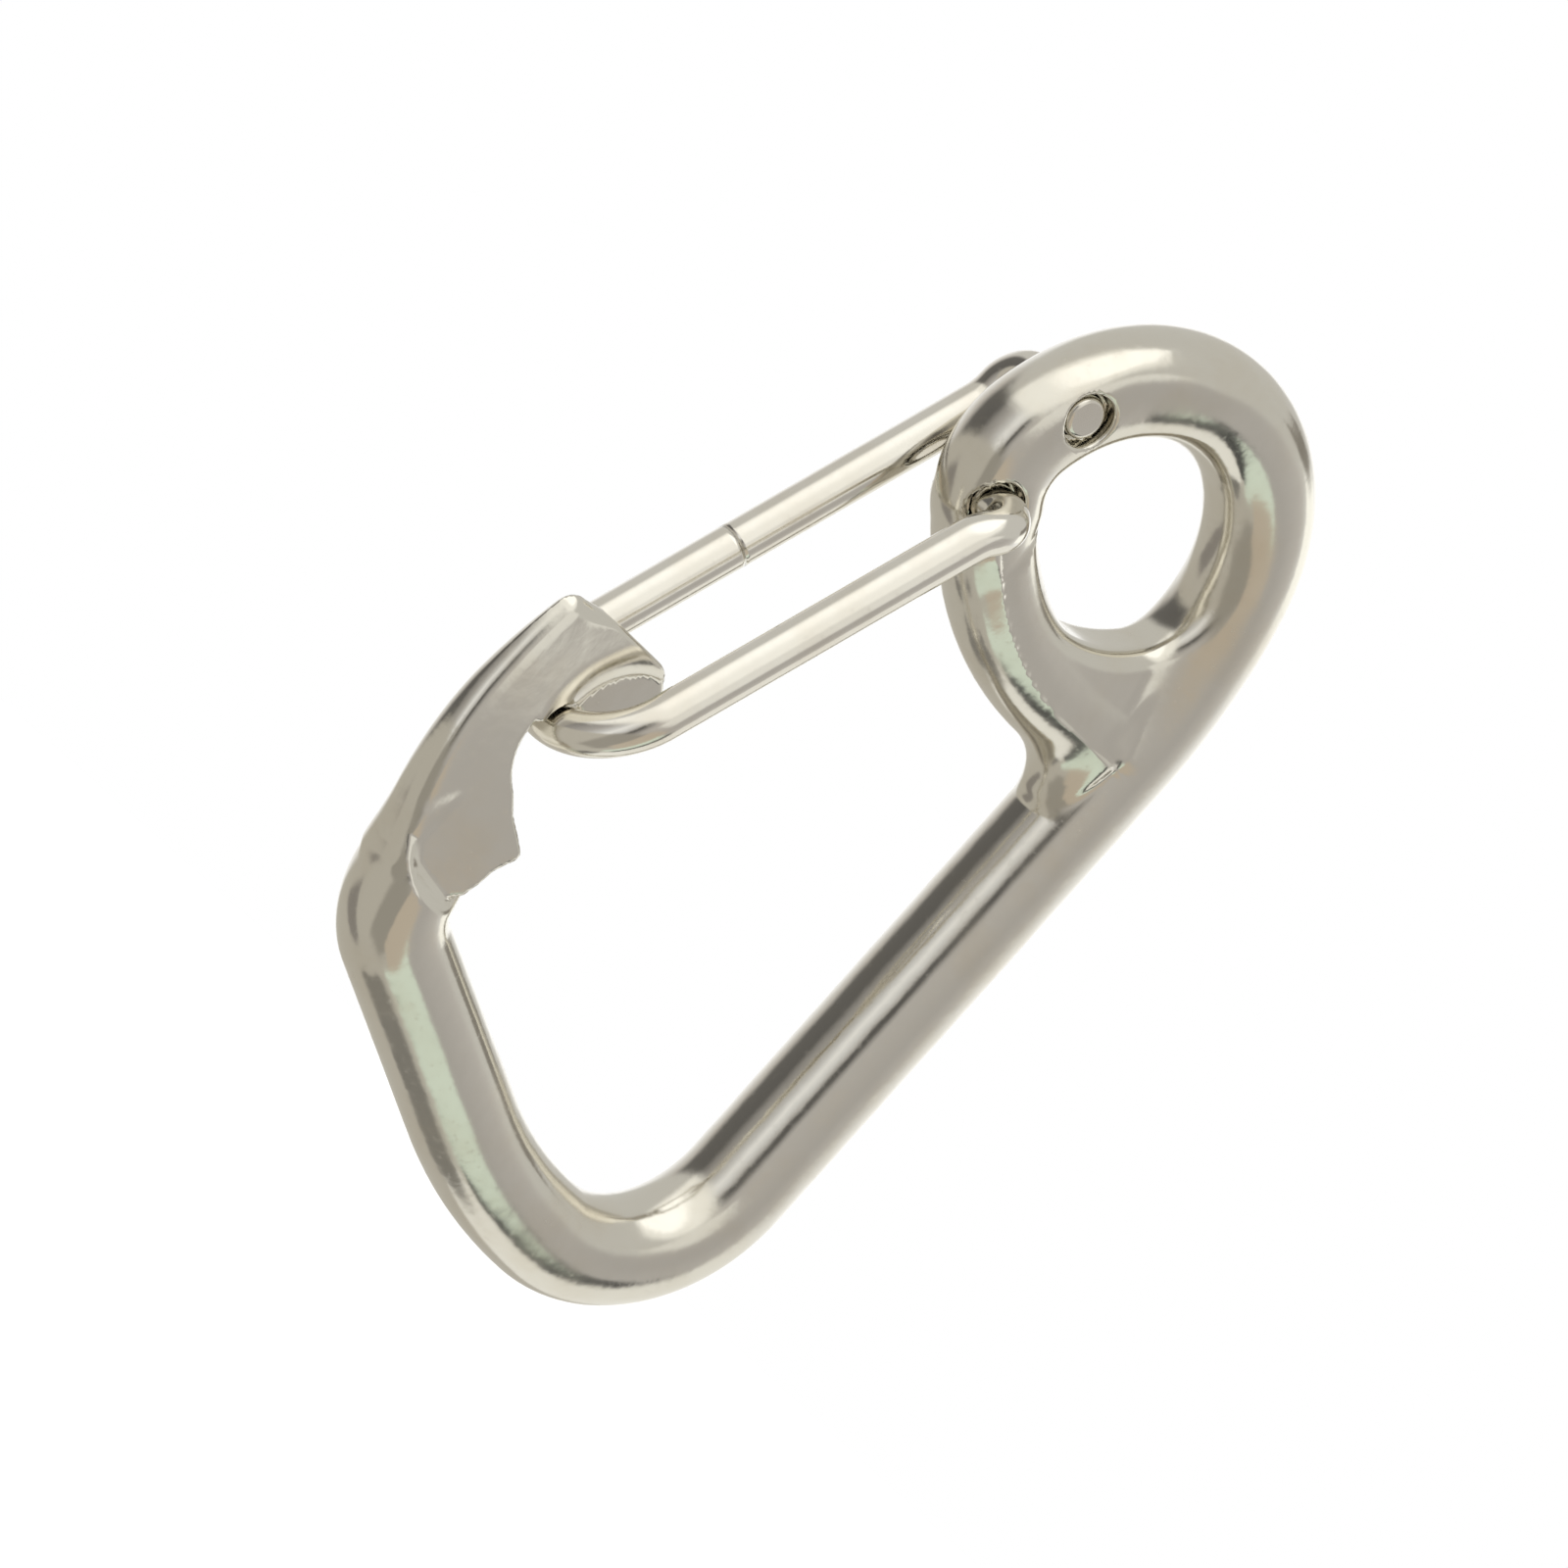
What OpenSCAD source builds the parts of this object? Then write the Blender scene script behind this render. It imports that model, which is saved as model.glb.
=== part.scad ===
// Eye snap hook with a sprung wire gate, bent and forged from one round bar.
// The hook lies in the XZ plane. +Z runs from the bowl to the eye, -X is the gate side, and -Y is the front.
// The origin is inside the eye, 10 mm from the spine's centre line, halfway through the bar's thickness.

/* [Bar] */
// Diameter of the round bar
bar_d = 5.8; // [5:0.1:6.2]
// Thickness across the flats on the hub and the crossbar
flat_t = 4.9; // [4.4:0.1:5.2]

/* [Eye] */
// Radius of the eye ring, to the bar's centre line
eye_r = 9.8; // [9.6:0.1:10]
// Radius of the shoulder that leads the spine into the eye ring
shoulder_r = 30; // [26:1:34]
// Radius of the long curve of the crossbar below the eye
crossbar_bend_r = 19; // [18.6:0.1:19.4]
// Thickness of the crossbar, seen from the front
crossbar_d = 5.2; // [5:0.1:5.6]
// Thickness of the web between the crossbar and the spine
web_t = 3.8; // [3:0.1:4.4]

/* [Bowl] */
// Height of the corner's centre, where the straight spine ends
corner_z = -36; // [-38:0.5:-34]
// Radius of the corner between the spine and the bowl
corner_r = 8.5; // [8:0.1:9]
// Radius of the long curve under the bowl
bowl_r = 27; // [24:1:30]
// Slope of the bowl as it rises to the nose, in degrees
bowl_slope = 20.7; // [19:0.1:22]
// Length of the straight stretch of the bowl
bowl_straight = 12.4; // [12:0.1:12.8]
// Radius of the turn from the bowl up to the nose
nose_turn_r = 4; // [3.6:0.1:4.6]

/* [Nose] */
// Thickness of the nose at its outer edge
nose_edge_t = 1.9; // [1.5:0.1:2.2]
// Angle of each flat on the nose, in degrees
nose_wedge = 10; // [8:1:12]
// Thickness of the hood between the legs of the gate
hood_t = 1.8; // [1.4:0.1:2.4]
// Radius of the round pocket that thins the hood
hood_pocket_r = 5.9; // [5.5:0.1:6.1]
// Clear space round the wire in the notch
notch_gap = 0.8; // [0.6:0.1:0.9]

/* [Wire gate] */
// Diameter of the wire
wire_d = 2.4; // [2.2:0.1:2.6]
// Angle between the legs of the closed gate and +Z, in degrees
gate_tilt = 24.6; // [24:0.2:25.2]
// Distance from the loop's end to the front hole, along the legs
front_reach = 26; // [25.6:0.1:26.2]
// Distance from the loop's end to the back hole, along the legs
back_reach = 32.1; // [31.6:0.1:32.6]
// Space between each leg and the bar
leg_gap = 0.27; // [0.2:0.01:0.4]
// Play round each end of the wire in its hole
pin_play = 0.05; // [0.03:0.01:0.08]

/* [Hidden] */
$fn = 72;

bar_r = bar_d / 2;
wire_r = wire_d / 2;
flat_y = flat_t / 2;
steel = "silver";
wire_steel = "gainsboro";

// The gate: how far each leg is from the middle plane, and how its ends turn into their holes
leg_y = bar_r + leg_gap + wire_r;
end_turn_r = 1.8;
end_sweep_r = 3;
end_sweep = 25;
hole_aside = end_sweep_r * (1 - cos(end_sweep)) + end_turn_r * sin(end_sweep);
end_recess = 0.7;
mouth_r = wire_r + 0.3;
mouth_depth = 1;
tail_gap = 0.3;

// The loop's end at rest, inside the notch
loop_x = -22.1;
loop_z = -24.8;

// The eye ring, the hub where the gate's holes are, and the centre line of the spine
eye = [-0.95, 0.2];
hub_a = 165;
spine_x = 10;

// The crossbar's curve ends in a straight stretch at its foot
crossbar_foot = [3.9, -6.8];

// The nose outline
nose_out_r = 30;
nose_out = [2.6, -26];
nose_heel_r = 12;
nose_heel = [-15.3, -27.8];
nose_tip_r = 1.3;
nose_tip = [-25.6, -20.2];
beak_r = 3.1;
beak = [-20.3, -21.95];
hood_pocket = [-18, -23.5];
notch_bay = [-20.2, -25.3];
notch_bay_r = 3.9;
nose_foot_z = -33.8;
runout = 2.2;
big = 40;

// Where the bowl's stretches begin and end
corner_x = spine_x - corner_r;
bowl_z = corner_z - corner_r + bowl_r;
rise = [-cos(bowl_slope), sin(bowl_slope)];
rise_start = [corner_x - bowl_r * sin(bowl_slope), bowl_z - bowl_r * cos(bowl_slope)];
rise_end = rise_start + bowl_straight * rise;
turn_c = rise_end + nose_turn_r * [sin(bowl_slope), cos(bowl_slope)];
nose_x = turn_c[0] - nose_turn_r;

// How far the ball over each seam stands proud, so that the two stretches join as one solid
ball_rise = 0.02;

// The shoulder runs from the spine into the eye ring
shoulder_run = spine_x - shoulder_r - eye[0];
shoulder_rise = sqrt(pow(shoulder_r - eye_r, 2) - pow(shoulder_run, 2));
shoulder_c = [spine_x - shoulder_r, eye[1] - shoulder_rise];
shoulder_a = atan2(shoulder_rise, -shoulder_run);

// The hub's turn, tangent to the eye ring and to the crossbar's curve
crossbar_r = crossbar_d / 2;
crossbar_c = crossbar_foot + [0, crossbar_bend_r];
hub_way = [cos(hub_a), sin(hub_a)];
hub_spread = crossbar_bend_r - eye_r;
hub_offset = crossbar_c - eye;
hub_shift = (hub_offset * hub_offset - pow(hub_spread, 2)) / (2 * (hub_spread + hub_offset * hub_way));
hub_r = eye_r - hub_shift;
hub_c = eye + hub_shift * hub_way;
hub_end_a = 360 + atan2(hub_c[1] - crossbar_c[1], hub_c[0] - crossbar_c[0]);
hub_end = hub_c + hub_r * [cos(hub_end_a), sin(hub_end_a)];

// The arcs of the web, which sink a little into the face of the crossbar where the web meets it
web_top_r = 8.6;
web_top_a = 240;
web_low_r = 3.6;
web_sink = 0.12;
web_bar_h = sqrt(pow(crossbar_r, 2) - pow(web_t / 2, 2));
web_bend_r = crossbar_bend_r - web_bar_h;
web_way = [cos(web_top_a), sin(web_top_a)];
web_top_c = crossbar_c + (web_bend_r + web_sink - web_top_r) * web_way;
web_start = crossbar_c + crossbar_bend_r * web_way;
web_start_x = crossbar_c[0] + web_bend_r * web_way[0];
web_spine_x = spine_x - sqrt(pow(bar_r, 2) - pow(web_t / 2, 2));
web_low_c = [web_spine_x + web_sink - web_low_r, crossbar_foot[1] - web_bar_h + web_sink - web_low_r];

// A bend of the round bar in the hook's plane, from angle a0 on for sweep degrees
module bar_bend(centre, r, a0, sweep, thick = bar_r) {
    translate([centre[0], 0, centre[1]])
        rotate([90, 0, 0])
            rotate([0, 0, a0])
                rotate_extrude(angle = sweep)
                    translate([r, 0])
                        circle(r = thick);
}

// A straight stretch of round bar from a point in the hook's plane, lean degrees from +Z towards +X
module bar_run(start, lean, length, r = bar_r) {
    translate([start[0], 0, start[1]])
        rotate([0, lean, 0])
            cylinder(r = r, h = length);
}

module bar_ball(at, thick = bar_r) {
    translate([at[0], 0, at[1]])
        sphere(r = thick + ball_rise, $fn = 48);
}

// A flat shape drawn in the hook's plane, given a thickness
module plate(t) {
    rotate([90, 0, 0])
        linear_extrude(height = t, center = true)
            children();
}

module bar_loop() {
    bar_bend(shoulder_c, shoulder_r, 0, shoulder_a);
    bar_bend(eye, eye_r, shoulder_a, hub_a - shoulder_a);
    bar_bend(hub_c, hub_r, hub_a, hub_end_a - hub_a);
    bar_bend(crossbar_c, crossbar_bend_r, hub_end_a, 270 - hub_end_a, crossbar_r);
    bar_run(crossbar_foot, 90, spine_x - crossbar_foot[0], crossbar_r);
    bar_run([spine_x, corner_z], 0, shoulder_c[1] - corner_z);
    bar_bend([corner_x, corner_z], corner_r, 270, 90);
    bar_bend([corner_x, bowl_z], bowl_r, 270 - bowl_slope, bowl_slope);
    bar_run(rise_start, bowl_slope - 90, bowl_straight);
    bar_bend(turn_c, nose_turn_r, 180, 90 - bowl_slope);
    bar_run([nose_x, turn_c[1]], 0, nose_foot_z - turn_c[1]);
    bar_ball(eye + eye_r * [cos(shoulder_a), sin(shoulder_a)]);
    bar_ball(eye + eye_r * hub_way);
    bar_ball(hub_end);
    bar_ball(crossbar_foot, crossbar_r);
    bar_ball([corner_x, corner_z - corner_r]);
    bar_ball(rise_start);
    bar_ball(rise_end);
    bar_ball([nose_x, turn_c[1]]);
}

// Fills the corners between the crossbar and the spine, above and below, each with an arc that runs into both
module web() {
    plate(web_t)
        difference() {
            polygon([
                [web_start_x, web_start[1] + 0.5],
                crossbar_foot,
                [spine_x, crossbar_foot[1]],
                [spine_x, 2],
                [web_start_x, 2]
            ]);
            translate(web_top_c)
                circle(r = web_top_r);
        }
    plate(web_t)
        difference() {
            translate(web_low_c)
                square([spine_x - web_low_c[0], crossbar_foot[1] - web_low_c[1]]);
            translate(web_low_c)
                circle(r = web_low_r);
        }
}

module nose_outline() {
    difference() {
        intersection() {
            translate(nose_out)
                circle(r = nose_out_r);
            union() {
                translate(nose_heel)
                    circle(r = nose_heel_r);
                translate([-30, nose_heel[1] - 1.2])
                    square([20, 15]);
            }
            union() {
                translate(beak)
                    intersection() {
                        circle(r = beak_r);
                        square(beak_r);
                    }
                translate(nose_tip)
                    circle(r = nose_tip_r);
                polygon([
                    [-28.5, nose_tip[1]],
                    nose_tip,
                    nose_tip + [0, nose_tip_r],
                    beak + [0, beak_r],
                    beak + [beak_r, 0],
                    [-17.5, -24.1],
                    [-21, -22.85],
                    notch_bay,
                    [-21.6, -29.3],
                    [-19.8, -30.5],
                    [-19.3, -31.1],
                    [-19.5, -31.9],
                    [-20, -33],
                    [-21, -35.6],
                    [-28.5, -35.6]
                ]);
            }
        }
        translate([loop_x, loop_z])
            circle(r = wire_r + notch_gap);
        intersection() {
            translate(notch_bay)
                circle(r = notch_bay_r);
            translate(notch_bay - [notch_bay_r, notch_bay_r])
                square([2 * notch_bay_r, notch_bay_r + 0.3]);
        }
    }
}

// The nose: a wedge that thins towards its outer edge, with a thinner hood over the notch
module nose() {
    edge_x = nose_out[0] - nose_out_r;
    half = nose_edge_t / 2;
    spread = 12;
    difference() {
        intersection() {
            plate(bar_d)
                nose_outline();
            translate([edge_x, 0, -big])
                linear_extrude(height = big)
                    polygon([
                        [-1, -half + tan(nose_wedge)],
                        [spread, -half - spread * tan(nose_wedge)],
                        [spread, half + spread * tan(nose_wedge)],
                        [-1, half - tan(nose_wedge)]
                    ]);
        }
        for (side = [-1, 1])
            translate([hood_pocket[0], side * (hood_t + big) / 2, hood_pocket[1]])
                rotate([90, 0, 0])
                    cylinder(r = hood_pocket_r, h = big, center = true);
    }
}

// The cuts where the flats of the nose run out into the round bar
module nose_runout() {
    depth = bar_r - 0.9;
    for (side = [0, 1])
        mirror([0, side, 0])
            translate([nose_x - 6, 0, nose_foot_z])
                rotate([90, 0, 90])
                    linear_extrude(height = 12)
                        polygon([
                            [-bar_r + depth, 0.1],
                            [-bar_r + depth, 0],
                            [-bar_r, -runout],
                            [-bar_r - 1, -runout],
                            [-bar_r - 1, 0.1]
                        ]);
}

// Places its children at a hole of the gate, with the hole along Y
module at_hole(reach, aside) {
    translate([loop_x, 0, loop_z])
        rotate([0, gate_tilt, 0])
            translate([aside, 0, reach])
                rotate([90, 0, 0])
                    children();
}

// A through hole for the wire, wider at its two mouths
module wire_hole() {
    cylinder(r = wire_r + pin_play, h = big, center = true);
    for (side = [-1, 1])
        translate([0, 0, side * (flat_y - mouth_depth + big / 2)])
            cylinder(r = mouth_r, h = big, center = true);
}

module hook_body() {
    flat_x = 16;
    flat_z = 15;
    color(steel)
        difference() {
            union() {
                difference() {
                    bar_loop();
                    nose_runout();
                }
                web();
                nose();
            }
            for (side = [-1, 1])
                translate([-14, side * (flat_y + big / 2) - big / 2, 5 - flat_z])
                    cube([flat_x, big, flat_z]);
            at_hole(front_reach, hole_aside)
                wire_hole();
            at_hole(back_reach, -hole_aside)
                wire_hole();
        }
}

// One end of the wire, in the gate's own frame: a leg from height z0, a sweep aside, a turn and the pin in its hole
module wire_end(z0, reach) {
    sweep_z = reach - end_sweep_r * sin(end_sweep) - end_turn_r * cos(end_sweep);
    turn_x = end_sweep_r * (1 - cos(end_sweep));
    turn_z = sweep_z + end_sweep_r * sin(end_sweep);
    pin_l = leg_y - end_turn_r + flat_y - end_recess;
    translate([0, -leg_y, z0])
        cylinder(r = wire_r, h = sweep_z - z0);
    translate([end_sweep_r, -leg_y, sweep_z])
        rotate([90, 0, 0])
            rotate([0, 0, 180 - end_sweep])
                rotate_extrude(angle = end_sweep)
                    translate([end_sweep_r, 0])
                        circle(r = wire_r);
    translate([turn_x, end_turn_r - leg_y, turn_z])
        rotate([0, end_sweep, 0])
            rotate([0, 90, 0])
                rotate([0, 0, 180])
                    rotate_extrude(angle = 90)
                        translate([end_turn_r, 0])
                            circle(r = wire_r);
    translate([hole_aside, end_turn_r - leg_y, reach])
        rotate([-90, 0, 0])
            cylinder(r = wire_r, h = pin_l);
    translate([0, -leg_y, sweep_z])
        sphere(r = wire_r + ball_rise);
    translate([turn_x, -leg_y, turn_z])
        sphere(r = wire_r + ball_rise);
    translate([hole_aside, end_turn_r - leg_y, reach])
        sphere(r = wire_r + ball_rise);
}

module wire_gate() {
    color(wire_steel)
        translate([loop_x, 0, loop_z])
            rotate([0, gate_tilt, 0]) {
                wire_end(leg_y, front_reach);
                translate([0, 0, leg_y])
                    rotate([0, 90, 0])
                        rotate([0, 0, -90])
                            rotate_extrude(angle = 180)
                                translate([leg_y, 0])
                                    circle(r = wire_r);
                translate([0, leg_y, leg_y])
                    cylinder(r = wire_r, h = front_reach - leg_y);
            }
}

module wire_gate_tail() {
    color(wire_steel)
        translate([loop_x, 0, loop_z])
            rotate([0, gate_tilt, 0])
                rotate([0, 0, 180])
                    wire_end(front_reach + tail_gap, back_reach);
}

hook_body();
wire_gate();
wire_gate_tail();
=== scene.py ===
import math

import bpy
import numpy as np
from mathutils import Matrix, Vector


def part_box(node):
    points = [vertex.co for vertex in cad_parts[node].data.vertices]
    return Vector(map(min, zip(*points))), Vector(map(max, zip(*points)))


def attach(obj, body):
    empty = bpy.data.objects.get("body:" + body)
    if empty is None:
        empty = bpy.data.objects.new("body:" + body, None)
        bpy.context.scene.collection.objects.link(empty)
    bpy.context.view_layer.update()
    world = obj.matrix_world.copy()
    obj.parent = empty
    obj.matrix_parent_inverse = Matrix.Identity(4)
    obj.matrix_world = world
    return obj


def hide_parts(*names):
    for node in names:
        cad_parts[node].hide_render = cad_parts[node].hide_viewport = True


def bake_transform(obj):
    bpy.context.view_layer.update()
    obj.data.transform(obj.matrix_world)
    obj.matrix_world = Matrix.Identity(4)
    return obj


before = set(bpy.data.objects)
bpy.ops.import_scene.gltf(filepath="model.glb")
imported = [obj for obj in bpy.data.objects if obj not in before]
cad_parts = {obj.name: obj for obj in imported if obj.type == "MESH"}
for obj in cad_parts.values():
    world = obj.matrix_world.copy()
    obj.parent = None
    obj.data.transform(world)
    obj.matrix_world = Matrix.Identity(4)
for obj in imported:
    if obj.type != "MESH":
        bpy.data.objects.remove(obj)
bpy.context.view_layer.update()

# Every length below is in millimetres, in the CAD model's frame, until a mesh is made.
MM = 0.001

# ---------------------------------------------------------------- camera
# The photograph looks at the front from the gate's side, with the camera level with the hook and rolled.
VIEW_TILT = math.radians(44.5)
VIEW_ROLL = math.radians(41.8)
VIEW_DISTANCE = 3000
VIEW_WIDTH = 80
VIEW_TARGET = Vector((-3.30, 3.25, -19.28))
SENSOR_WIDTH = 36

toward_camera = Vector((-math.sin(VIEW_TILT), -math.cos(VIEW_TILT), 0))
across = Vector((math.cos(VIEW_TILT), -math.sin(VIEW_TILT), 0))
up = Vector((0, 0, 1))
camera_right = up * math.sin(VIEW_ROLL) + across * math.cos(VIEW_ROLL)
camera_up = up * math.cos(VIEW_ROLL) - across * math.sin(VIEW_ROLL)

camera_data = bpy.data.cameras.new("camera")
camera_data.sensor_width = SENSOR_WIDTH
camera_data.lens = SENSOR_WIDTH * VIEW_DISTANCE / VIEW_WIDTH
camera_data.clip_start = 0.01
camera = bpy.data.objects.new("camera", camera_data)
bpy.context.scene.collection.objects.link(camera)
turn = Matrix((camera_right, camera_up, toward_camera)).transposed()
place = (VIEW_TARGET + toward_camera * VIEW_DISTANCE) * MM
camera.matrix_world = Matrix.Translation(place) @ turn.to_4x4()
bpy.context.scene.camera = camera

# ---------------------------------------------------------------- sizes, as in the CAD model
BAR_R = 2.9
FLAT_Y = 2.45
EYE = (-0.95, 0.2)
EYE_R = 9.8
HUB_A = math.radians(165)
SPINE_X = 10
SHOULDER_R = 30
CROSSBAR_R = 2.6
CROSSBAR_BEND_R = 19
CROSSBAR_FOOT = (3.9, -6.8)
WEB_TOP_R = 8.6
WEB_TOP_A = math.radians(240)
WEB_HALF = 1.9
CORNER = (1.5, -36)
CORNER_R = 8.5
BOWL_R = 27
BOWL = (CORNER[0], CORNER[1] - CORNER_R + BOWL_R)
BOWL_SLOPE = math.radians(20.7)
RISE_L = 12.4
TURN_R = 4
WIRE_R = 1.2
LEG_Y = 4.37
LOOP = (-22.1, -24.8)
GATE_TILT = math.radians(24.6)
FRONT_REACH = 26
BACK_REACH = 32.1
END_TURN_R = 1.8
END_SWEEP_R = 3
END_SWEEP = math.radians(25)
END_RECESS = 0.7
HOLE_ASIDE = END_SWEEP_R * (1 - math.cos(END_SWEEP)) + END_TURN_R * math.sin(END_SWEEP)

rise_start = (BOWL[0] - BOWL_R * math.sin(BOWL_SLOPE), BOWL[1] - BOWL_R * math.cos(BOWL_SLOPE))
rise_end = (rise_start[0] - RISE_L * math.cos(BOWL_SLOPE), rise_start[1] + RISE_L * math.sin(BOWL_SLOPE))
turn_c = (rise_end[0] + TURN_R * math.sin(BOWL_SLOPE), rise_end[1] + TURN_R * math.cos(BOWL_SLOPE))
nose_x = turn_c[0] - TURN_R

shoulder_run = SPINE_X - SHOULDER_R - EYE[0]
shoulder_rise = math.sqrt((SHOULDER_R - EYE_R) ** 2 - shoulder_run ** 2)
shoulder_c = (SPINE_X - SHOULDER_R, EYE[1] - shoulder_rise)
shoulder_a = math.atan2(shoulder_rise, -shoulder_run)

crossbar_c = (CROSSBAR_FOOT[0], CROSSBAR_FOOT[1] + CROSSBAR_BEND_R)
hub_way = (math.cos(HUB_A), math.sin(HUB_A))
hub_spread = CROSSBAR_BEND_R - EYE_R
hub_off = (crossbar_c[0] - EYE[0], crossbar_c[1] - EYE[1])
hub_along = hub_off[0] * hub_way[0] + hub_off[1] * hub_way[1]
hub_shift = (hub_off[0] ** 2 + hub_off[1] ** 2 - hub_spread ** 2) / (2 * (hub_spread + hub_along))
hub_r = EYE_R - hub_shift
hub_c = (EYE[0] + hub_shift * hub_way[0], EYE[1] + hub_shift * hub_way[1])
hub_end_a = 2 * math.pi + math.atan2(hub_c[1] - crossbar_c[1], hub_c[0] - crossbar_c[0])
web_reach = CROSSBAR_BEND_R - math.sqrt(CROSSBAR_R ** 2 - WEB_HALF ** 2) - WEB_TOP_R
web_c = (crossbar_c[0] + web_reach * math.cos(WEB_TOP_A), crossbar_c[1] + web_reach * math.sin(WEB_TOP_A))


def at_gate(aside, reach):
    """A point in the hook's plane, given in the gate's own frame."""
    s, c = math.sin(GATE_TILT), math.cos(GATE_TILT)
    return (LOOP[0] + reach * s + aside * c, LOOP[1] + reach * c - aside * s)


front_hole = at_gate(HOLE_ASIDE, FRONT_REACH)
back_hole = at_gate(-HOLE_ASIDE, BACK_REACH)


# ---------------------------------------------------------------- distance fields
def smooth_min(a, b, k):
    h = np.maximum(k - np.abs(a - b), 0) / k
    return np.minimum(a, b) - h * h * k / 4


def smooth_max(a, b, k):
    return -smooth_min(-a, -b, k)


def ease(t):
    t = np.clip(t, 0, 1)
    return t * t * (3 - 2 * t)


def fade(value, start, width):
    """0 up to start, rising smoothly to 1 over a width."""
    return ease((value - start) / width)


def to_segment(x, z, a, b):
    """Distance in the plane from a straight stretch of centre line."""
    dx, dz = b[0] - a[0], b[1] - a[1]
    t = np.clip(((x - a[0]) * dx + (z - a[1]) * dz) / (dx * dx + dz * dz), 0, 1)
    return np.hypot(x - a[0] - t * dx, z - a[1] - t * dz)


def to_arc(x, z, centre, r, start, sweep):
    """Distance in the plane from an arc of centre line; start and sweep are in radians."""
    middle = start + sweep / 2
    u, v = x - centre[0], z - centre[1]
    turn = np.arctan2(v * math.cos(middle) - u * math.sin(middle), u * math.cos(middle) + v * math.sin(middle))
    turn = middle + np.clip(turn, -sweep / 2, sweep / 2)
    return np.hypot(u - r * np.cos(turn), v - r * np.sin(turn))


def inside_outline(x, z, points):
    """Signed distance from a closed outline in the plane, negative inside."""
    nearest = np.full(np.broadcast(x, z).shape, np.inf)
    inside = np.zeros(nearest.shape, bool)
    for a, b in zip(points, points[1:] + points[:1]):
        nearest = np.minimum(nearest, to_segment(x, z, a, b))
        crosses = (a[1] > z) != (b[1] > z)
        rise = b[1] - a[1] if b[1] != a[1] else 1
        inside ^= crosses & (x < a[0] + (z - a[1]) * (b[0] - a[0]) / rise)
    return np.where(inside, -nearest, nearest)


def arc_points(centre, r, start, end, count):
    """Points along an arc, with its angles in degrees."""
    turns = np.radians(np.linspace(start, end, count))
    return [(centre[0] + r * math.cos(t), centre[1] + r * math.sin(t)) for t in turns]


# ---------------------------------------------------------------- the forging, finer than in the CAD model
# The nose's outline, once round from the tip, down the outer side and back up past the notch and the hood
NOSE_OUT, NOSE_OUT_R = (2.6, -26), 30.4
nose_outer_side = arc_points(NOSE_OUT, NOSE_OUT_R, 168.4, 178.5, 22)
nose_outer_bend = arc_points((-8.8, -25.2), 19, 181, 210, 26)
nose_foot = [(-24.8, -35.3), (-21.6, -35.6), (-20.3, -34.4), (-20.05, -33.4), (-19.95, -32.5)]
nose_corner = [(-19.65, -31.8), (-19.35, -31.25), (-19.35, -30.9), (-19.6, -30.65)]
nose_inner_side = [(-20.3, -30.2), (-21.3, -29.6)]
nose_notch = arc_points((-20.4, -25.6), 3.6, 240, 176, 9) + arc_points(LOOP, 1.4, 190, 62, 10)
nose_hood = [(-17.6, -24.1)] + arc_points((-20.3, -21.95), 3.1, -8, 80, 12)
nose_top = [(-21.6, -18.83), (-23.6, -18.8), (-24.8, -18.86)] + arc_points((-26.0, -20.13), 1.2, 92, 166, 9)
nose_outside = nose_outer_side + nose_outer_bend + nose_foot
nose_inside = nose_corner + nose_inner_side + nose_notch + nose_hood
nose_points = nose_outside + nose_inside + nose_top

# Nose: half its thickness at the outer edge, its wedge, its lean towards the tip, and the rounding of its edges
NOSE_EDGE_HALF = 1.0
NOSE_WEDGE = math.radians(10)
NOSE_LEAN = 0.03
NOSE_LEAN_Z = -27
NOSE_CAMBER = 0.003
NOSE_CAMBER_Z = -29
NOSE_EDGE_K = 0.35
NOSE_OUTER_K = 0.8
NOSE_OUTER_W = 3.5
NOSE_OUTER_FADE = 2
NOSE_JOIN_K = 0.25
NOSE_JOIN_SOFT_K = 1.0
NOSE_JOIN_X = -23.5
NOSE_JOIN_W = 1.5
HOOD_HALF = 0.9
HOOD_C = (-18, -23.5)
HOOD_R = 6.4
HOOD_SLOPE_W = 2.4
# The bar thins out under the nose, above RUNOUT_Z
RUNOUT_HALF = 0.9
RUNOUT_Z = -33.8
RUNOUT_L = 2.2
RUNOUT_K = 0.25
STUB_TOP = -33
NOSE_SIDE_X = -18
NOSE_SIDE_W = 0.5

# Hub: where its flats lie, and how they run out
HUB_FLAT_C = (-10, 1.5)
HUB_FLAT_R = 6
HUB_RUNOUT_W = 5
HUB_RUNOUT_RISE = 0.5
HUB_EDGE_K = 0.7

# Crossbar: thicker at the hub; the face above its ridge dips towards the eye; its foot sinks into the spine.
# The corner below the foot is filled between two heights.
HUB_SIDE_X = -6.5
HUB_SIDE_W = 3
FACE_START_X = -9.5
FACE_START_W = 3
FACE_HALF = 2.5
FACE_DIP = 0.15
RIDGE_OUT = 0.6
RIDGE_SLOPE = 2
RIDGE_K = 0.35
FOOT_IN = 2.6
FOOT_SINK = 0.8
FOOT_SINK_X = 7.5
FOOT_SINK_W = 2
FILL_K = 4
FILL_LOW = -11
FILL_HIGH = -6.5
FILL_W = 3
CROSSBAR_JOIN_K = 0.3

# Web: it sinks into the spine, and its join with the spine gets sharper below the crossbar
WEB_LEFT = -7
WEB_TOP = 2
WEB_SINK = 1.5
WEB_SINK_X = 6.5
WEB_SINK_W = 3.5
WEB_EDGE_K = 1.1
WEB_UNDER = 0.3
WEB_JOIN_LOW_K = 0.3
WEB_JOIN_HIGH_K = 1.5
WEB_JOIN_Z = -8.5
WEB_JOIN_H = 2
WEB_JOIN_X = 2
WEB_JOIN_W = 3

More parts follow.
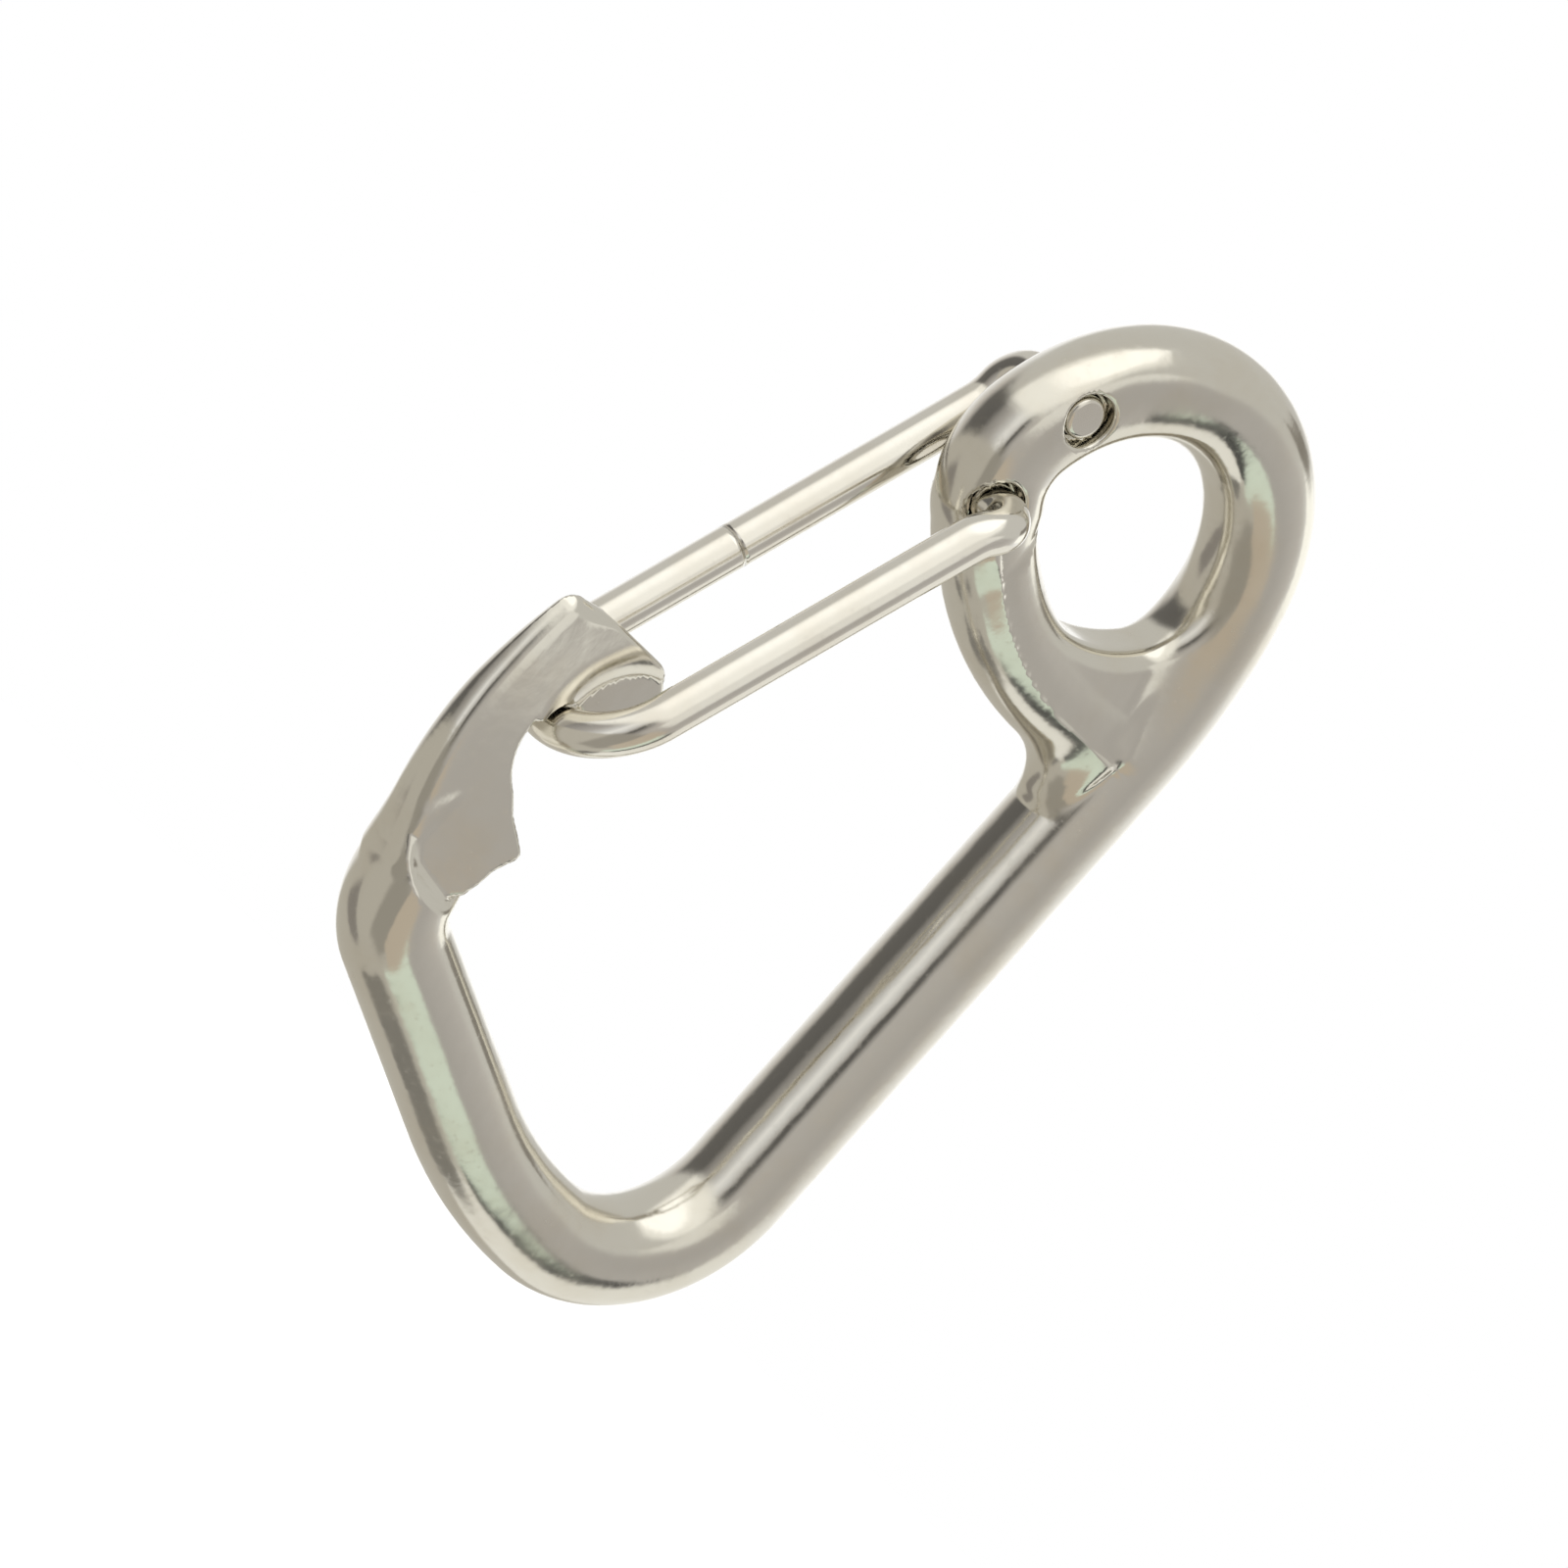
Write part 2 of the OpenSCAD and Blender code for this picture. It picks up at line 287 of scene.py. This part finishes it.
# Holes: play round the wire, and a shallow wider mouth
HOLE_PLAY = 0.05
MOUTH_PLAY = 0.3
MOUTH_DEPTH = 1
HOLE_EDGE_K = 0.25

# The least rounding that a join may have, and a depth that is well outside the bar
SHARP_K = 0.02
CLEAR_OF_BAR = 5


def bar_lines(x, z):
    """Distances in the plane from the whole loop of bar, and from its right side alone."""
    pi = math.pi
    ring = to_arc(x, z, EYE, EYE_R, shoulder_a, HUB_A - shoulder_a)
    shoulder = to_arc(x, z, shoulder_c, SHOULDER_R, 0, shoulder_a)
    hub = to_arc(x, z, hub_c, hub_r, HUB_A, hub_end_a - HUB_A)
    spine = to_segment(x, z, (SPINE_X, shoulder_c[1]), (SPINE_X, CORNER[1]))
    corner = to_arc(x, z, CORNER, CORNER_R, 1.5 * pi, pi / 2)
    bowl = to_arc(x, z, BOWL, BOWL_R, 1.5 * pi - BOWL_SLOPE, BOWL_SLOPE)
    rise = to_segment(x, z, rise_start, rise_end)
    turn = to_arc(x, z, turn_c, TURN_R, pi, pi / 2 - BOWL_SLOPE)
    stub = to_segment(x, z, (nose_x, turn_c[1]), (nose_x, STUB_TOP))
    loop = np.minimum.reduce([ring, shoulder, hub, spine, corner, bowl, rise, turn, stub])
    return loop, np.minimum(spine, shoulder)


def round_bar(loop, x, y, z):
    """The bar, with the hub's flats, which run out into the round ring."""
    from_hub = np.hypot(x - HUB_FLAT_C[0], z - HUB_FLAT_C[1])
    flat = FLAT_Y + HUB_RUNOUT_RISE * fade(from_hub, HUB_FLAT_R, HUB_RUNOUT_W)
    return smooth_max(np.hypot(loop, y) - BAR_R, np.abs(y) - flat, HUB_EDGE_K)


def crossbar_and_web(right_side, x, y, z):
    """The crossbar, round below and with a ridge along it, and the web that fills the corner above its foot."""
    # inward is how far a point lies from the crossbar's centre line, on the eye's side of it
    inward = CROSSBAR_BEND_R - np.hypot(x - crossbar_c[0], z - crossbar_c[1])
    inward = np.where(x > CROSSBAR_FOOT[0], z - CROSSBAR_FOOT[1], inward)
    face = FACE_HALF - FACE_DIP * inward + np.maximum(-RIDGE_OUT - inward, 0) * RIDGE_SLOPE
    face = FLAT_Y + (face - FLAT_Y) * fade(x, FACE_START_X, FACE_START_W)

    # The corner below the foot is filled, where the foot and the spine come close
    bend = to_arc(x, z, crossbar_c, CROSSBAR_BEND_R, hub_end_a, 1.5 * math.pi - hub_end_a)
    foot = to_segment(x, z, CROSSBAR_FOOT, (SPINE_X - FOOT_IN, CROSSBAR_FOOT[1]))
    beyond_corner = fade(-z, -FILL_LOW, FILL_W) + fade(z, FILL_HIGH, FILL_W)
    beside = right_side - (BAR_R - CROSSBAR_R) + 2 * beyond_corner
    near = smooth_min(np.minimum(bend, foot), beside, SHARP_K + FILL_K * fade(-x, -SPINE_X, FILL_W))
    thick = CROSSBAR_R + (BAR_R - CROSSBAR_R) * fade(-x, -HUB_SIDE_X, HUB_SIDE_W)
    crossbar = np.hypot(np.maximum(near, 0), y) - thick + FOOT_SINK * fade(x, FOOT_SINK_X, FOOT_SINK_W)
    crossbar = np.maximum(crossbar, x - SPINE_X)
    crossbar = smooth_max(crossbar, np.abs(y) - face, RIDGE_K)

    web = WEB_TOP_R - np.hypot(x - web_c[0], z - web_c[1])
    web = smooth_max(web, -inward - WEB_UNDER, WEB_UNDER)
    web = np.maximum(np.maximum(web, WEB_LEFT - x), np.maximum(z - WEB_TOP, x - SPINE_X))
    web = smooth_max(web, np.abs(y) - face + WEB_SINK * fade(x, WEB_SINK_X, WEB_SINK_W), WEB_EDGE_K)
    return crossbar, web


def thinned_under_nose(body, x, y, z):
    """The bar runs out to a thin blade inside the nose."""
    runout = RUNOUT_HALF + np.maximum(RUNOUT_Z - z, 0) * (BAR_R - RUNOUT_HALF) / RUNOUT_L
    elsewhere = 1 - fade(-x, -NOSE_SIDE_X, NOSE_SIDE_W)
    return smooth_max(body, np.abs(y) - (runout + elsewhere * CLEAR_OF_BAR), RUNOUT_K)


def nose_blade(x, y, z):
    """The nose: two flats that lean together, and a cove under the hood where the loop rests."""
    from_edge = NOSE_OUT_R - np.hypot(x - NOSE_OUT[0], z - NOSE_OUT[1])
    half = NOSE_EDGE_HALF + np.maximum(from_edge, 0) * math.tan(NOSE_WEDGE)
    half = half - NOSE_LEAN * (z - NOSE_LEAN_Z) - NOSE_CAMBER * np.maximum(z - NOSE_CAMBER_Z, 0) ** 2
    in_hood = np.clip((HOOD_R - np.hypot(x - HOOD_C[0], z - HOOD_C[1])) / HOOD_SLOPE_W, 0, 1) ** 2
    half = half * (1 - in_hood) + HOOD_HALF * in_hood
    rounding = NOSE_EDGE_K + NOSE_OUTER_K * fade(-from_edge, -NOSE_OUTER_W, NOSE_OUTER_FADE)
    return smooth_max(inside_outline(x, z, nose_points), np.abs(y) - half, rounding)


def wire_hole(centre, x, y, z):
    away = np.hypot(x - centre[0], z - centre[1])
    mouth = np.maximum(away - WIRE_R - MOUTH_PLAY, FLAT_Y - MOUTH_DEPTH - np.abs(y))
    return np.minimum(away - WIRE_R - HOLE_PLAY, mouth)


def body_distance(x, y, z):
    """Signed distance from the forging, negative inside."""
    loop, right_side = bar_lines(x, z)
    crossbar, web = crossbar_and_web(right_side, x, y, z)
    web_join = WEB_JOIN_LOW_K + WEB_JOIN_HIGH_K * fade(z, WEB_JOIN_Z, WEB_JOIN_H)
    web_join = SHARP_K + web_join * fade(x, WEB_JOIN_X, WEB_JOIN_W)
    body = smooth_min(round_bar(loop, x, y, z), web, web_join)
    body = smooth_min(body, crossbar, CROSSBAR_JOIN_K)
    body = thinned_under_nose(body, x, y, z)
    nose_join = NOSE_JOIN_K + NOSE_JOIN_SOFT_K * fade(-x, -NOSE_JOIN_X, NOSE_JOIN_W)
    body = smooth_min(body, nose_blade(x, y, z), nose_join)
    for centre in (front_hole, back_hole):
        body = smooth_max(body, -wire_hole(centre, x, y, z), HOLE_EDGE_K)
    return body


# ---------------------------------------------------------------- mesh from a distance field
def surface_nets(field, low, step):
    """Vertices and quads of the zero surface of a field on a grid."""
    inside = field < 0
    cells = tuple(n - 1 for n in field.shape)
    total = np.zeros(cells + (3,), np.float32)
    count = np.zeros(cells, np.int32)
    crossings = []
    for axis in range(3):
        lead = [slice(None)] * 3
        lag = [slice(None)] * 3
        lead[axis], lag[axis] = slice(1, None), slice(None, -1)
        cut = inside[tuple(lead)] != inside[tuple(lag)]
        at = np.argwhere(cut)
        f0 = field[tuple(lag)][cut]
        f1 = field[tuple(lead)][cut]
        crossings.append((at, f0 < 0))
        place = at.astype(np.float32)
        place[:, axis] += f0 / (f0 - f1)
        b, c = [a for a in range(3) if a != axis]
        for db in (0, -1):
            for dc in (0, -1):
                cell = at.copy()
                cell[:, b] += db
                cell[:, c] += dc
                ok = (cell >= 0).all(1) & (cell < cells).all(1)
                key = tuple(cell[ok].T)
                np.add.at(total, key, place[ok])
                np.add.at(count, key, 1)
    used = count > 0
    number = np.full(cells, -1, np.int64)
    number[used] = np.arange(used.sum())
    verts = total[used] / count[used][:, None] * step + np.array(low)
    quads = []
    for axis, (at, leaving) in enumerate(crossings):
        b, c = [(1, 2), (2, 0), (0, 1)][axis]
        corners = []
        for db, dc in ((0, 0), (-1, 0), (-1, -1), (0, -1)):
            cell = at.copy()
            cell[:, b] += db
            cell[:, c] += dc
            corners.append(number[tuple(cell.T)])
        quad = np.stack(corners, 1)
        quad[~leaving] = quad[~leaving][:, ::-1]
        quads.append(quad)
    return verts, np.concatenate(quads)


def slope(distance, p, eps):
    grad = np.empty_like(p)
    for axis in range(3):
        ahead, behind = p.copy(), p.copy()
        ahead[:, axis] += eps
        behind[:, axis] -= eps
        grad[:, axis] = (distance(*ahead.T) - distance(*behind.T)) / (2 * eps)
    return grad


def settle(distance, p, steps):
    """Moves points onto the zero surface."""
    for _ in range(steps):
        grad = slope(distance, p, 0.01)
        size = np.maximum((grad * grad).sum(1), 0.2)
        move = distance(*p.T) / size
        p = p - grad * np.clip(move, -0.15, 0.15)[:, None]
    return p


def relax(p, quads, distance, rounds):
    """Evens out the mesh while it stays on the surface."""
    edges = np.concatenate([quads[:, [i, (i + 1) % 4]] for i in range(4)])
    for _ in range(rounds):
        total, count = np.zeros_like(p), np.zeros(len(p))
        np.add.at(total, edges[:, 0], p[edges[:, 1]])
        np.add.at(total, edges[:, 1], p[edges[:, 0]])
        np.add.at(count, edges[:, 0], 1)
        np.add.at(count, edges[:, 1], 1)
        p = settle(distance, p + 0.5 * (total / count[:, None] - p), 2)
    return p


def make_object(name, p, faces, normals=None):
    mesh = bpy.data.meshes.new(name)
    mesh.from_pydata((p * MM).tolist(), [], faces if isinstance(faces, list) else faces.tolist())
    mesh.polygons.foreach_set("use_smooth", [True] * len(mesh.polygons))
    mesh.update()
    if normals is not None:
        mesh.normals_split_custom_set_from_vertices(normals.tolist())
    obj = bpy.data.objects.new(name, mesh)
    bpy.context.scene.collection.objects.link(obj)
    return obj


def solid_object(name, distance, low, high, step):
    axes = [np.arange(a, b + step, step) for a, b in zip(low, high)]
    x, y, z = np.meshgrid(*axes, indexing="ij", sparse=True)
    field = distance(x, y, z).astype(np.float32)
    p, quads = surface_nets(field, [a[0] for a in axes], step)
    p = settle(distance, p.astype(float), 3)
    p = relax(p, quads, distance, 2)
    normals = slope(distance, p, 0.03)
    normals /= np.linalg.norm(normals, axis=1)[:, None]
    return make_object(name, p, quads, normals)


# The spacing of the grid that the mesh is drawn from
GRID = 0.21
low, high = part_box("hook_body")
margin = 3 * GRID
body = solid_object(
    "hook_forging",
    body_distance,
    [v / MM - margin for v in low],
    [v / MM + margin for v in high],
    GRID,
)
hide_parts("hook_body")
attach(body, "hook")


# ---------------------------------------------------------------- wire
def wire_path():
    """The wire's centre line from its front end to its back end, in the hook's frame."""
    step = 0.25
    points = []

    def to_frame(aside, y, reach):
        px, pz = at_gate(aside, reach)
        points.append((px, y, pz))

    def end(reach, pin_end):
        """One end of the wire: from the pin's tip to the top of the straight leg."""
        sweep_z = reach - END_SWEEP_R * math.sin(END_SWEEP) - END_TURN_R * math.cos(END_SWEEP)
        turn_x = END_SWEEP_R * (1 - math.cos(END_SWEEP))
        turn_z = sweep_z + END_SWEEP_R * math.sin(END_SWEEP)
        start = -(LEG_Y - END_TURN_R)
        for y in np.arange(pin_end, start, -step):
            yield HOLE_ASIDE, y, reach
        for t in np.linspace(0, math.pi / 2, 14):
            out, along = END_TURN_R * math.sin(t), END_TURN_R * math.cos(t)
            yield turn_x + along * math.sin(END_SWEEP), start - out, turn_z + along * math.cos(END_SWEEP)
        for t in np.linspace(END_SWEEP, 0, 7)[1:]:
            yield END_SWEEP_R * (1 - math.cos(t)), -LEG_Y, sweep_z + END_SWEEP_R * math.sin(t)

    tip = FLAT_Y - END_RECESS
    front = list(end(FRONT_REACH, tip))
    for aside, y, reach in front:
        to_frame(aside, y, reach)
    for reach in np.arange(front[-1][2] - step, LEG_Y, -step):
        to_frame(0, -LEG_Y, reach)
    for t in np.linspace(0, math.pi, 56):
        to_frame(0, -LEG_Y * math.cos(t), LEG_Y - LEG_Y * math.sin(t))
    back = [(-aside, -y, reach) for aside, y, reach in end(BACK_REACH, tip)][::-1]
    for reach in np.arange(LEG_Y + step, back[0][2], step):
        to_frame(0, LEG_Y, reach)
    for aside, y, reach in back:
        to_frame(aside, y, reach)
    return np.array(points)


END_EDGE_R = 0.3


def tube(name, path, r, first_cap, last_cap, start=None, sides=32):
    """A round wire along a path, and its side vector at the last point. A real end has a small rounded edge."""
    ahead = np.gradient(path, axis=0)
    ahead /= np.linalg.norm(ahead, axis=1)[:, None]
    side = np.zeros_like(path)
    if start is None:
        start = np.cross(ahead[0], (0.3, 0.2, 0.9))
    side[0] = start / np.linalg.norm(start)
    for i in range(1, len(path)):
        v = side[i - 1] - ahead[i] * np.dot(side[i - 1], ahead[i])
        side[i] = v / np.linalg.norm(v)
    other = np.cross(ahead, side)
    turns = np.linspace(0, 2 * math.pi, sides, endpoint=False)

    def ring(i, centre, radius):
        return centre + radius * (np.cos(turns)[:, None] * side[i] + np.sin(turns)[:, None] * other[i])

    def rounded_end(i, out):
        """The rings of a rounded edge beyond point i; out is 1 ahead along the path, and -1 behind."""
        rings = []
        for t in np.linspace(0, math.pi / 2, 5)[1:]:
            centre = path[i] + out * ahead[i] * END_EDGE_R * math.sin(t)
            rings.append(ring(i, centre, r - END_EDGE_R + END_EDGE_R * math.cos(t)))
        return rings

    rings = [ring(i, path[i], r) for i in range(len(path))]
    if first_cap:
        rings = rounded_end(0, -1)[::-1] + rings
    if last_cap:
        rings = rings + rounded_end(len(path) - 1, 1)
    p = np.concatenate(rings)
    n = len(rings)
    faces = []
    for i in range(n - 1):
        for j in range(sides):
            k = (j + 1) % sides
            faces.append([i * sides + j, i * sides + k, (i + 1) * sides + k, (i + 1) * sides + j])
    faces.append(list(range(sides))[::-1])
    faces.append(list(range((n - 1) * sides, n * sides)))
    obj = make_object(name, p, faces)
    for face in obj.data.polygons[-2:]:
        face.use_smooth = False
    return obj, side[-1]


path = wire_path()
# The wire is cut in its back leg, where it passes this height
SEAM_Z = -12
behind = path[:, 1] > LEG_Y - 0.01
seam = next(i for i in range(len(path)) if behind[i] and path[i, 2] > SEAM_Z)
gate, seam_side = tube("gate_wire", path[: seam + 1], WIRE_R, True, False)
tail, _ = tube("gate_wire_back_end", path[seam:], WIRE_R, False, True, seam_side)
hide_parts("wire_gate")
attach(gate, "gate")
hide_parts("wire_gate_tail")
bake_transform(tail)


# ---------------------------------------------------------------- materials
class Nodes:
    """Short ways to add and link the nodes of one tree."""

    def __init__(self, tree):
        self.tree = tree

    def add(self, kind, settings=(), **inputs):
        node = self.tree.nodes.new(kind)
        for key, value in settings:
            setattr(node, key, value)
        for key, value in inputs.items():
            socket = node.inputs[int(key[1:])] if key[1:].isdigit() else node.inputs[key.replace("_", " ")]
            self.feed(socket, value)
        return node

    def feed(self, socket, value):
        if isinstance(value, bpy.types.NodeSocket):
            self.tree.links.new(value, socket)
        else:
            socket.default_value = value

    def math(self, operation, a, b=0.0):
        return self.add("ShaderNodeMath", [("operation", operation)], i0=a, i1=b).outputs[0]

    def window(self, value, low, high, soft):
        """1 inside low to high, falling smoothly to 0 over soft on each side."""
        rise = self.ramp(value, low - soft, low, 0, 1)
        fall = self.ramp(value, high, high + soft, 1, 0)
        return self.math("MULTIPLY", rise, fall)

    def ramp(self, value, from_low, from_high, to_low, to_high):
        node = self.add("ShaderNodeMapRange", [("interpolation_type", "SMOOTHSTEP")])
        for i, v in enumerate((value, from_low, from_high, to_low, to_high)):
            self.feed(node.inputs[i], v)
        return node.outputs[0]

    def mix(self, factor, a, b):
        node = self.add("ShaderNodeMix", [("data_type", "RGBA")])
        self.feed(node.inputs[0], factor)
        self.feed(node.inputs[6], a)
        self.feed(node.inputs[7], b)
        return node.outputs[2]

    def noise(self, vector, scale, detail, rough):
        node = self.add("ShaderNodeTexNoise", Vector=vector, Scale=scale, Detail=detail, Roughness=rough)
        return node.outputs[0]


# How fine each pattern of the steel is, in repeats a metre
CLOUDS, WAVES, SPECKS, RUBS = 160, 420, 2600, 5200


def polished_steel(name, color, stain, rough, ripple):
    """Buffed stainless steel: cloudy polish, a faint ripple, fine rubbing marks and a slight warm stain."""
    mat = bpy.data.materials.new(name)
    mat.use_nodes = True
    n = Nodes(mat.node_tree)
    shader = mat.node_tree.nodes["Principled BSDF"]
    shader.inputs["Metallic"].default_value = 1
    where = n.add("ShaderNodeTexCoord").outputs["Object"]
    clouds = n.noise(where, CLOUDS, 4.0, 0.6)
    specks = n.noise(where, SPECKS, 3.0, 0.6)
    stretched = n.add("ShaderNodeMapping", Vector=where, Scale=(1.0, 0.15, 0.25)).outputs[0]
    rubs = n.noise(stretched, RUBS, 2.0, 0.7)
    n.feed(shader.inputs["Base Color"], n.mix(n.ramp(clouds, 0.42, 0.75, 0, 1), (*color, 1), (*stain, 1)))
    cloudy = n.ramp(clouds, 0.3, 0.7, rough * 0.75, rough * 1.3)
    worn = n.ramp(specks, 0.55, 0.75, 0, 0.10)
    n.feed(shader.inputs["Roughness"], n.math("ADD", cloudy, worn))
    waves = n.noise(where, WAVES, 2.0, 0.5)
    height = n.math("ADD", waves, n.math("MULTIPLY", specks, 0.12))
    height = n.math("ADD", height, n.math("MULTIPLY", rubs, 0.03))
    bump = n.add("ShaderNodeBump", Strength=1.0, Distance=ripple, Height=height)
    n.feed(shader.inputs["Normal"], bump.outputs[0])
    return mat


forged = polished_steel("polished_steel", (0.73, 0.705, 0.635), (0.70, 0.66, 0.57), 0.15, 0.00003)
drawn = polished_steel("spring_wire", (0.78, 0.755, 0.69), (0.74, 0.70, 0.62), 0.13, 0.000015)
body.data.materials.append(forged)
gate.data.materials.append(drawn)
tail.data.materials.append(drawn)

# ---------------------------------------------------------------- floor and light
FLOOR_Z = -0.075
FLOOR_HALF = 3
corners = [(-1, -1), (1, -1), (1, 1), (-1, 1)]
floor_mesh = bpy.data.meshes.new("floor")
floor_mesh.from_pydata([(FLOOR_HALF * a, FLOOR_HALF * b, FLOOR_Z) for a, b in corners], [], [(0, 1, 2, 3)])
floor = bpy.data.objects.new("floor", floor_mesh)
bpy.context.scene.collection.objects.link(floor)
floor_mat = bpy.data.materials.new("floor")
floor_mat.use_nodes = True
paint = floor_mat.node_tree.nodes["Principled BSDF"]
paint.inputs["Base Color"].default_value = (0.9, 0.9, 0.9, 1)
paint.inputs["Roughness"].default_value = 0.9
paint.inputs["Emission Color"].default_value = (1, 1, 1, 1)
paint.inputs["Emission Strength"].default_value = 0.45
floor_mesh.materials.append(floor_mat)
floor.visible_glossy = False

# The studio: a pale room with a soft box above the camera, a dark cloth at the left, a narrow dark gap where
# the camera stands, and a warm table. Angles are in degrees, round from the camera and up from the level.
world = bpy.data.worlds.new("studio")
world.use_nodes = True
bpy.context.scene.world = world
n = Nodes(world.node_tree)
ray = n.add("ShaderNodeTexCoord").outputs["Generated"]


def along(direction):
    node = n.add("ShaderNodeVectorMath", [("operation", "DOT_PRODUCT")])
    n.feed(node.inputs[0], ray)
    n.feed(node.inputs[1], tuple(direction))
    return node.outputs["Value"]


turn_to = n.math("ARCTAN2", along(across), along(toward_camera))
round_deg = n.math("MULTIPLY", turn_to, math.degrees(1))
up_deg = n.math("MULTIPLY", n.math("ARCSINE", along(up)), math.degrees(1))

# The wall's darker parts are a little warm
WARM_SHADE = 0.93
wall = n.add("ShaderNodeValToRGB")
n.feed(wall.inputs[0], n.math("DIVIDE", n.math("ADD", round_deg, 180), 360))
# The wall at the camera's level, as pairs of an angle round and a light
stops = [
    (-180, 1.2), (-150, 1.0), (-125, 0.65), (-110, 0.16), (-74, 0.14), (-63, 0.32), (-45, 0.48), (-32, 0.7),
    (-22, 1.0), (-10, 0.75), (-2, 0.5), (1, 0.12), (7, 0.12), (14, 0.34), (26, 0.56), (45, 0.54), (85, 0.5),
    (104, 0.62), (122, 0.95), (150, 1.25), (179, 1.2),
]
steps = wall.color_ramp.elements
while len(steps) < len(stops):
    steps.new(0.5)
for step, (angle, light) in zip(steps, stops):
    step.position = (angle + 180) / 360
    warm = WARM_SHADE if light < 0.7 else 1.0
    step.color = (light, light * (1 + warm) / 2, light * warm, 1)

# Each card: from and to round, from and to up, how soft its edge is, and its light. Later ones go on top.
cards = [
    # The pale upper wall, the soft box on it and the box's bright heart
    (-190, 190, 24, 100, 10, (0.66, 0.65, 0.62)),
    (-70, 40, 26, 90, 14, (1.12, 1.11, 1.06)),
    (-60, 26, 46, 90, 10, (1.5, 1.49, 1.45)),
    # A bright strip and a dark strip above it, behind the hook
    (118, 150, 8, 19, 5, (1.3, 1.3, 1.25)),
    (118, 150, 26, 33, 3, (0.28, 0.26, 0.23)),
    # The lamp that lights the tip of the nose
    (38, 66, 9, 24, 6, (0.92, 0.91, 0.87)),
    # The warm table, and the shade of the camera on it
    (-190, 190, -100, -17, 7, (0.56, 0.535, 0.48)),
    (-8, 44, -62, -16, 12, (0.38, 0.36, 0.32)),
    # Brown, pale green and black things to the right of the table, then a white one
    (42, 74, -48, -8, 7, (0.60, 0.53, 0.44)),
    (77, 89, -60, -13, 3, (0.80, 0.90, 0.79)),
    (92, 99, -52, -8, 2.5, (0.07, 0.07, 0.07)),
    (104, 160, -58, -4, 5, (0.98, 0.97, 0.92)),
    # The table's dark edge behind the hook, and a dark thing at its left
    (104, 190, -72, -62, 3, (0.25, 0.24, 0.22)),
    (-115, -88, -70, -36, 8, (0.30, 0.28, 0.26)),
]
light = wall.outputs[0]
for left, right, low_up, high_up, soft, shade in cards:
    where = n.window(up_deg, low_up, high_up, soft)
    if right - left < 360:
        where = n.math("MULTIPLY", n.window(round_deg, left, right, soft), where)
    light = n.mix(where, light, (*shade, 1))
seen = n.add("ShaderNodeLightPath").outputs["Is Camera Ray"]
back = world.node_tree.nodes["Background"]
n.feed(back.inputs["Color"], n.mix(seen, light, (1, 1, 1, 1)))
back.inputs["Strength"].default_value = 1
bpy.context.scene.view_settings.view_transform = "Standard"
